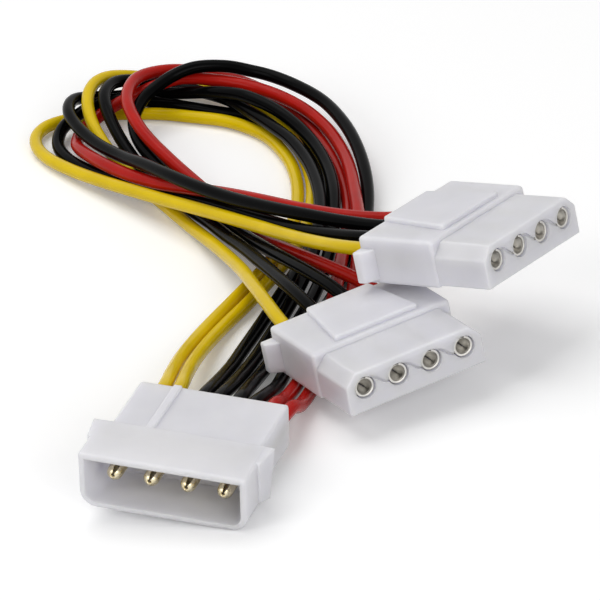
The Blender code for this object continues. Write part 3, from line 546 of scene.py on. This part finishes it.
def bar(name, x, z, diameter, start, end):
    """A round bar along y."""
    work = bmesh.new()
    radius = diameter / 2
    bmesh.ops.create_cone(work, cap_ends=True, segments=ROUND_SIDES, radius1=radius, radius2=radius,
                          depth=end - start)
    turn = Matrix.Translation((x, (start + end) / 2, z)) @ Matrix.Rotation(math.radians(90), 4, "X")
    bmesh.ops.transform(work, matrix=turn, verts=work.verts)
    return tool_object(name, work)


def join(body, tool, operation):
    """Join a working solid to a housing or cut it away."""
    step = body.modifiers.new(operation.lower(), "BOOLEAN")
    step.operation = operation
    step.solver = "EXACT"
    step.object = tool


def finish_housing(body, tools, name, pose, mouths):
    """Fix the joins and cuts, round the edges of the openings and put the housing in its place."""
    settled = body.evaluated_get(bpy.context.evaluated_depsgraph_get())
    shaped = bpy.data.meshes.new_from_object(settled)
    for item in [body] + tools:
        old = item.data
        bpy.data.objects.remove(item, do_unlink=True)
        bpy.data.meshes.remove(old)
    work = bmesh.new()
    work.from_mesh(shaped)
    bmesh.ops.remove_doubles(work, verts=work.verts, dist=SAME_PLACE)
    bmesh.ops.dissolve_limit(work, angle_limit=FLAT_ANGLE, verts=work.verts, edges=work.edges)
    for depth in mouths:
        rims = [line for line in work.edges if line.calc_face_angle(0) > MOUTH_ANGLE
                and all(abs(corner.co.y - depth) < SAME_PLACE for corner in line.verts)]
        bmesh.ops.bevel(work, geom=rims, offset=MOUTH_EDGE, segments=MOUTH_SEGMENTS,
                        profile=ROUND_PROFILE, affect="EDGES", material=-1, clamp_overlap=True)
    bmesh.ops.triangulate(work, faces=work.faces)
    bmesh.ops.transform(work, matrix=pose, verts=work.verts)
    work.to_mesh(shaped)
    work.free()
    shaped.shade_smooth()
    shaped.set_sharp_from_angle(angle=CREASE_ANGLE)
    shaped.materials.clear()
    shaped.materials.append(nylon)
    item = link(bpy.data.objects.new(name, shaped))
    flats = item.modifiers.new("flats", "WEIGHTED_NORMAL")
    flats.keep_sharp = True
    return item


def rectangle(half_width, low, high):
    """Corner points of an upright rectangle about x = 0."""
    return [(-half_width, low), (half_width, low), (half_width, high), (-half_width, high)]


# The two socket housings: a nose with two cut corners that goes into a plug, a taller block behind it
# with a raised pad and two wings to pull on, and four round holes with a thin shallow groove from
# each to the next.
NOSE_WIDTH = 20.9 * MM
NOSE_HEIGHT = 5.85 * MM
NOSE_LENGTH = 8.5 * MM
NOSE_CHAMFER = 1.7 * MM
BLOCK_WIDTH = 21.4 * MM
BLOCK_HEIGHT = 6.8 * MM
BLOCK_DROP = 0.35 * MM
PAD_START = 9.6 * MM
PAD_FRONT_WIDTH = 12.9 * MM
PAD_REAR_WIDTH = 9.9 * MM
PAD_RISE = 0.7 * MM
WING_JUT = 1.8 * MM
WING_RAMP = 1.2 * MM
WING_LENGTH = 2.6 * MM
WING_LOW = 0.3 * MM
WING_TOP = 4.8 * MM
WING_INSET = 0.1 * MM
HOLE_DIAMETER = 3.2 * MM
HOLE_DEPTH = 12.0 * MM
WIRE_BORE = 4.2 * MM
SLOT_WIDTH = 0.4 * MM
SLOT_DEPTH = 0.4 * MM
SLOT_RISE = 1.6 * MM
SLOT_HIGH = 1.15 * MM
SLOT_START_INSET = 0.55 * MM
SLOT_END_INSET = 0.15 * MM
SLOT_STEPS = 10


def slot_outline(way):
    """The thin S of a groove from one hole's upper right to the next hole's lower left."""
    start = Vector((hole_x(way) + HOLE_DIAMETER / 2 - SLOT_START_INSET, HOLE_HEIGHT + SLOT_HIGH))
    end = Vector((hole_x(way + 1) - HOLE_DIAMETER / 2 + SLOT_END_INSET,
                  HOLE_HEIGHT + SLOT_HIGH - SLOT_RISE))
    upper, lower = [], []
    for k in range(SLOT_STEPS + 1):
        part = k / SLOT_STEPS
        ease = part * part * (3 - 2 * part)
        centre = Vector((start.x + (end.x - start.x) * part, start.y + (end.y - start.y) * ease))
        slope = 6 * part * (1 - part) * (end.y - start.y) / (end.x - start.x)
        across = Vector((-slope, 1.0)).normalized() * SLOT_WIDTH / 2
        upper.append(tuple(centre + across))
        lower.append(tuple(centre - across))
    return lower + upper[::-1]


def make_socket_housing(side):
    """One socket's moulding."""
    half = NOSE_WIDTH / 2
    nose = [(-half, 0), (half, 0), (half, NOSE_HEIGHT - NOSE_CHAMFER), (half - NOSE_CHAMFER, NOSE_HEIGHT),
            (-half + NOSE_CHAMFER, NOSE_HEIGHT), (-half, NOSE_HEIGHT - NOSE_CHAMFER)]
    body = prism("nose", "y", nose, 0, NOSE_LENGTH + SINK, FINE_EDGE)
    block_top = BLOCK_HEIGHT - BLOCK_DROP
    near, far, pad_end = PAD_FRONT_WIDTH / 2, PAD_REAR_WIDTH / 2, SOCKET_LENGTH - FINE_EDGE
    pad_plan = [(-near, PAD_START), (near, PAD_START), (far, pad_end), (-far, pad_end)]
    added = [
        prism("block", "y", rectangle(BLOCK_WIDTH / 2, -BLOCK_DROP, block_top), NOSE_LENGTH,
              SOCKET_LENGTH, BLOCK_EDGE),
        prism("pad", "z", pad_plan, block_top - SINK, block_top + PAD_RISE, PAD_EDGE),
    ]
    for hand in (-1, 1):
        root, tip = hand * (BLOCK_WIDTH / 2 - SINK), hand * (BLOCK_WIDTH / 2 + WING_JUT)
        foot = SOCKET_LENGTH - WING_LENGTH - WING_RAMP * SINK / WING_JUT
        ramp = SOCKET_LENGTH - WING_LENGTH + WING_RAMP
        rear = SOCKET_LENGTH - WING_INSET
        plan = [(root, foot), (tip, ramp), (tip, rear), (root, rear)]
        added.append(prism("wing", "z", plan, WING_LOW, WING_TOP, FINE_EDGE))
    cut = []
    for way in range(WAYS):
        cut.append(bar("hole", hole_x(way), HOLE_HEIGHT, HOLE_DIAMETER, -CUT_OVERRUN, HOLE_DEPTH + SINK))
        cut.append(bar("bore", hole_x(way), HOLE_HEIGHT, WIRE_BORE, HOLE_DEPTH,
                       SOCKET_LENGTH + CUT_OVERRUN))
    for way in range(WAYS - 1):
        cut.append(prism("slot", "y", slot_outline(way), -CUT_OVERRUN, SLOT_DEPTH))
    for tool in added:
        join(body, tool, "UNION")
    for tool in cut:
        join(body, tool, "DIFFERENCE")
    moulding = finish_housing(body, added + cut, side + "_moulding", POSES[side], (0.0, SOCKET_LENGTH))
    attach(moulding, "root")
    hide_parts(side + "_housing")


for socket_side in ("front", "back"):
    make_socket_housing(socket_side)

# The plug housing: a hollow shroud round the pins with round lower corners, a lower body behind it
# with a cavity for each pair of wires, a flared grip on each side and a locating rib on top.
BODY_LENGTH = 11.6 * MM
SHROUD_FLOOR = 0.7 * MM
SHROUD_WIDTH = 21.5 * MM
SHROUD_HEIGHT = 6.4 * MM
SHROUD_WALL = 0.85 * MM
SHROUD_LENGTH = PLUG_LENGTH - BODY_LENGTH
SHROUD_DEPTH = SHROUD_LENGTH - SHROUD_FLOOR
SHROUD_CORNER = 2.3 * MM
CORNER_STEPS = 8
BODY_HEIGHT = 6.4 * MM
PIN_HOLE = 2.6 * MM
PARTITION = 3.3 * MM
PAIR_CAVITY_WIDTH = 4.6 * MM
PAIR_CAVITY_HEIGHT = 3.4 * MM
END_WALL = 0.53 * MM
BODY_WIDTH = (WAYS - 1) * PITCH + PAIR_CAVITY_WIDTH + 2 * END_WALL
GRIP_START = 4.5 * MM
GRIP_FRONT_JUT = 0.35 * MM
GRIP_REAR_JUT = 1.05 * MM
GRIP_FRONT_LOW = 1.9 * MM
GRIP_REAR_LOW = 1.1 * MM
GRIP_LEAN = 1.6 * MM
GRIP_INSET = 0.15 * MM
GRIP_TOP_INSET = 0.04 * MM
RIB_PLACE = -5.0 * MM
RIB_WIDTH = 1.2 * MM
RIB_RISE = 0.42 * MM
CAVITY_ARC_STEPS = 12


def shroud_outline(half_width, low, high, radius):
    """A box section with its two lower corners rounded."""
    points = [(half_width, high), (-half_width, high)]
    for hand, first in ((-1, 180), (1, 270)):
        for k in range(CORNER_STEPS + 1):
            angle = math.radians(first + 90 * k / CORNER_STEPS)
            points.append((hand * (half_width - radius) + radius * math.cos(angle),
                           low + radius + radius * math.sin(angle)))
    return points


def obround(centre_x, centre_z, width, height):
    """An outline with straight top and bottom and round ends."""
    radius = height / 2
    reach = width / 2 - radius
    points = []
    for hand, first in ((1, -90), (-1, 90)):
        for k in range(CAVITY_ARC_STEPS + 1):
            angle = math.radians(first + 180 * k / CAVITY_ARC_STEPS)
            points.append((centre_x + hand * reach + radius * math.cos(angle),
                           centre_z + radius * math.sin(angle)))
    return points


def flared_grip(hand, root, top):
    """A grip on the shroud's side that stands out further towards the back, with a leaning rear edge."""
    rear = SHROUD_LENGTH - GRIP_INSET
    side_view = [(GRIP_START, GRIP_FRONT_LOW), (rear - GRIP_LEAN, GRIP_REAR_LOW), (rear, top),
                 (GRIP_START, top)]
    start, end = sorted((hand * (root - SINK), hand * (root + GRIP_FRONT_JUT)))

    def flare(spot):
        share = (spot.y - GRIP_START) / (rear - GRIP_START)
        return hand * share * (GRIP_REAR_JUT - GRIP_FRONT_JUT) if abs(spot.x) > root else 0.0

    return prism("grip", "x", side_view, start, end, FINE_EDGE, flare)


def make_plug_housing():
    """The plug's moulding."""
    outer = SHROUD_WIDTH / 2 + SHROUD_WALL
    top = SHROUD_HEIGHT + 2 * SHROUD_WALL
    body_top = SHROUD_WALL + BODY_HEIGHT
    outside = shroud_outline(outer, 0, top, SHROUD_CORNER)
    body = prism("shroud", "y", outside, 0, SHROUD_LENGTH, SOFT_EDGE)
    added = [prism("body", "y", rectangle(BODY_WIDTH / 2, SHROUD_WALL, body_top), SHROUD_LENGTH - SINK,
                   PLUG_LENGTH, SOFT_EDGE)]
    for hand in (-1, 1):
        added.append(flared_grip(hand, outer, top - GRIP_TOP_INSET))
    inside = shroud_outline(SHROUD_WIDTH / 2, SHROUD_WALL, SHROUD_WALL + SHROUD_HEIGHT,
                            SHROUD_CORNER - SHROUD_WALL)
    cut = [prism("hollow", "y", inside, -CUT_OVERRUN, SHROUD_DEPTH)]
    cavity_start = SHROUD_DEPTH + PARTITION
    for way in range(WAYS):
        cut.append(bar("hole", hole_x(way), PIN_HEIGHT, PIN_HOLE, SHROUD_DEPTH - CUT_OVERRUN,
                       cavity_start + SINK))
        cavity = obround(hole_x(way), PIN_HEIGHT, PAIR_CAVITY_WIDTH, PAIR_CAVITY_HEIGHT)
        cut.append(prism("cavity", "y", cavity, cavity_start, PLUG_LENGTH + CUT_OVERRUN))
    left, right = RIB_PLACE - RIB_WIDTH / 2, RIB_PLACE + RIB_WIDTH / 2
    near, far = SHROUD_LENGTH - SINK, PLUG_LENGTH - FINE_EDGE
    rib = prism("rib", "z", [(left, near), (right, near), (right, far), (left, far)], body_top - SINK,
                body_top + RIB_RISE, FINE_EDGE)
    for tool in added:
        join(body, tool, "UNION")
    for tool in cut:
        join(body, tool, "DIFFERENCE")
    join(body, rib, "UNION")
    moulding = finish_housing(body, added + cut + [rib], "plug_moulding", POSES["plug"], (0.0, PLUG_LENGTH))
    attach(moulding, "root")
    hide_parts("plug_housing")


make_plug_housing()

# The plug's four pins: brass strip rolled into hollow pins with a seam near the top, drawn in to a
# round tip, and opened out behind into a barrel that is crimped on two conductors. The tip's shape
# gives shares of its length and of the pin's radius.
SHEET = 0.3 * MM
SHEET_SIDES = 40
SEAM_ANGLE = math.radians(26)
RIM_SHARE = 6
RIM_SEGMENTS = 2
RIM_ANGLE = math.radians(50)
CORE_OD = 1.0 * MM
CORE_LENGTH = 4.0 * MM
CORE_PITCH = 1.9 * MM
CORE_GAP = 0.25 * MM
BARREL_GAP = 0.2 * MM
PIECE_GAP = 0.3 * MM
TAPER = 0.9 * MM
PIN_DIAMETER = 2.13 * MM
PIN_TIP_LENGTH = 0.9 * MM
PIN_TIP_SHAPE = ((0.0, 0.28), (0.12, 0.52), (0.35, 0.76), (0.65, 0.93), (1.0, 1.0))
PIN_INSET = 2.2 * MM
PIN_SEAM_TURN = math.radians(22)
BRASS_DARK = (0.66, 0.56, 0.34)
BRASS_LIGHT = (0.86, 0.78, 0.56)
BRASS_ROUGHNESS = 0.28
brass = worn_metal("rolled_brass", BRASS_DARK, BRASS_LIGHT, BRASS_ROUGHNESS)


def rolled_strip(name, stations, place, material, sheet=SHEET, seam_turn=0.0):
    """A strip rolled to a tube with a seam: depth, half width and half height at each station."""
    seam_way = Vector((math.sin(seam_turn), 0, math.cos(seam_turn)))
    work = bmesh.new()
    bmesh.ops.create_circle(work, cap_ends=False, segments=SHEET_SIDES, radius=1.0)
    bmesh.ops.transform(work, matrix=Matrix.Rotation(math.radians(90), 4, "X"), verts=work.verts)
    seam = [corner for corner in work.verts if corner.co.dot(seam_way) > math.cos(SEAM_ANGLE / 2)]
    bmesh.ops.delete(work, geom=seam, context="VERTS")
    depth, wide, tall = stations[0]
    first = Matrix.Translation((0, depth, 0)) @ Matrix.Diagonal((wide, 1, tall, 1))
    bmesh.ops.transform(work, matrix=first, verts=work.verts)
    row = list(work.edges)
    for next_depth, next_wide, next_tall in stations[1:]:
        made = bmesh.ops.extrude_edge_only(work, edges=row)["geom"]
        row = [item for item in made if isinstance(item, bmesh.types.BMEdge)]
        corners = [item for item in made if isinstance(item, bmesh.types.BMVert)]
        grow = Matrix.Diagonal((next_wide / wide, 1, next_tall / tall, 1))
        onward = Matrix.Translation((0, next_depth - depth, 0)) @ grow
        bmesh.ops.transform(work, matrix=onward, verts=corners)
        depth, wide, tall = next_depth, next_wide, next_tall
    bmesh.ops.recalc_face_normals(work, faces=work.faces)
    bmesh.ops.transform(work, matrix=place, verts=work.verts)
    mesh = bpy.data.meshes.new(name)
    work.to_mesh(mesh)
    work.free()
    mesh.shade_smooth()
    mesh.materials.append(material)
    item = link(bpy.data.objects.new(name, mesh))
    shell = item.modifiers.new("sheet", "SOLIDIFY")
    shell.thickness = sheet
    shell.offset = 0.0
    shell.use_even_offset = True
    edges = item.modifiers.new("edges", "BEVEL")
    edges.width = sheet / RIM_SHARE
    edges.segments = RIM_SEGMENTS
    edges.limit_method = "ANGLE"
    edges.angle_limit = RIM_ANGLE
    return item


pin_radius = (PIN_DIAMETER - SHEET) / 2
pin_barrel_wide = (CORE_PITCH + CORE_OD) / 2 + CORE_GAP + SHEET / 2
pin_barrel_tall = CORE_OD / 2 + 2 * CORE_GAP
pin_barrel_start = SHROUD_DEPTH + PARTITION + BARREL_GAP + TAPER
pin_barrel_end = PLUG_LENGTH - WIRE_INSERT - 2 * PIECE_GAP
PIN_STATIONS = [(PIN_INSET + along * PIN_TIP_LENGTH, share * pin_radius, share * pin_radius)
                for along, share in PIN_TIP_SHAPE]
PIN_STATIONS += [
    (pin_barrel_start - TAPER, pin_radius, pin_radius),
    (pin_barrel_start, pin_barrel_wide, pin_barrel_tall),
    (pin_barrel_end, pin_barrel_wide, pin_barrel_tall),
]
for pin_way in range(WAYS):
    pin_place = POSES["plug"] @ Matrix.Translation((hole_x(pin_way), 0, PIN_HEIGHT))
    pin_piece = rolled_strip(f"pin_{pin_way + 1}", PIN_STATIONS, pin_place, brass,
                             seam_turn=PIN_SEAM_TURN)
    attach(pin_piece, "root")
    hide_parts(f"plug_pin_{pin_way + 1}")

# The sockets' eight contacts: tinned strip rolled into a springy tube that takes a pin, with its
# front lip turned in a little and two thin leaves that close together inside it, their tin coloured
# darker as painted shade, and a narrower barrel behind it that is crimped on one conductor.
SPRING_FIT = 0.27 * MM
SPRING_INSET = 0.4 * MM
SPRING_LENGTH = 8.8 * MM
LIP_LENGTH = 0.5 * MM
LIP_SHARE = 0.93
TIN_DARK = (0.50, 0.49, 0.46)
TIN_LIGHT = (0.72, 0.70, 0.66)
TIN_ROUGHNESS = 0.50
# The leaves' colours are the tin's own made darker: painted shade inside the holes, not a different metal.
LEAF_SHADED_DARK = (0.26, 0.25, 0.23)
LEAF_SHADED_LIGHT = (0.50, 0.48, 0.44)
LEAF_ROUGHNESS = 0.42
LEAF_SHEET = 0.12 * MM
LEAF_TURN = math.radians(-40)
LEAF_SHAPE = ((0.25, 1.10, 1.10), (0.55, 0.92, 1.08), (0.85, 0.58, 1.03), (1.10, 0.13, 0.98))
tin = worn_metal("tinned_strip", TIN_DARK, TIN_LIGHT, TIN_ROUGHNESS)
# The leaves' material is a darker copy of the tin, as painted shade.
leaf_shaded_tin = worn_metal("leaf_strip_painted_shade", LEAF_SHADED_DARK, LEAF_SHADED_LIGHT, LEAF_ROUGHNESS)
spring_radius = (PIN_DIAMETER + SPRING_FIT + SHEET) / 2
lip_radius = LIP_SHARE * spring_radius
spring_end = SPRING_INSET + SPRING_LENGTH
barrel_radius = CORE_OD / 2 + CORE_GAP + SHEET / 2
barrel_end = SOCKET_LENGTH - WIRE_INSERT - 2 * PIECE_GAP
barrel_start = SOCKET_LENGTH - WIRE_INSERT - PIECE_GAP - CORE_LENGTH
SPRING_STATIONS = [
    (SPRING_INSET, lip_radius, lip_radius),
    (SPRING_INSET + LIP_LENGTH, spring_radius, spring_radius),
    (spring_end, spring_radius, spring_radius),
    (spring_end + TAPER, barrel_radius, barrel_radius),
    (barrel_start, barrel_radius, barrel_radius),
    (barrel_end, barrel_radius, barrel_radius),
]
LEAF_STATIONS = [(SPRING_INSET + depth * MM, wide * MM, tall * MM) for depth, wide, tall in LEAF_SHAPE]
for socket_side in ("front", "back"):
    for way_number in range(WAYS):
        contact_place = POSES[socket_side] @ Matrix.Translation((hole_x(way_number), 0, HOLE_HEIGHT))
        leaf_place = contact_place @ Matrix.Rotation(LEAF_TURN, 4, "Y")
        contact = rolled_strip(f"{socket_side}_spring_{way_number + 1}", SPRING_STATIONS,
                               contact_place, tin)
        leaves = rolled_strip(f"{socket_side}_leaves_{way_number + 1}", LEAF_STATIONS,
                              leaf_place, leaf_shaded_tin, LEAF_SHEET)
        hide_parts(f"{socket_side}_contact_{way_number + 1}")
        for piece in (contact, leaves):
            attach(piece, "root")
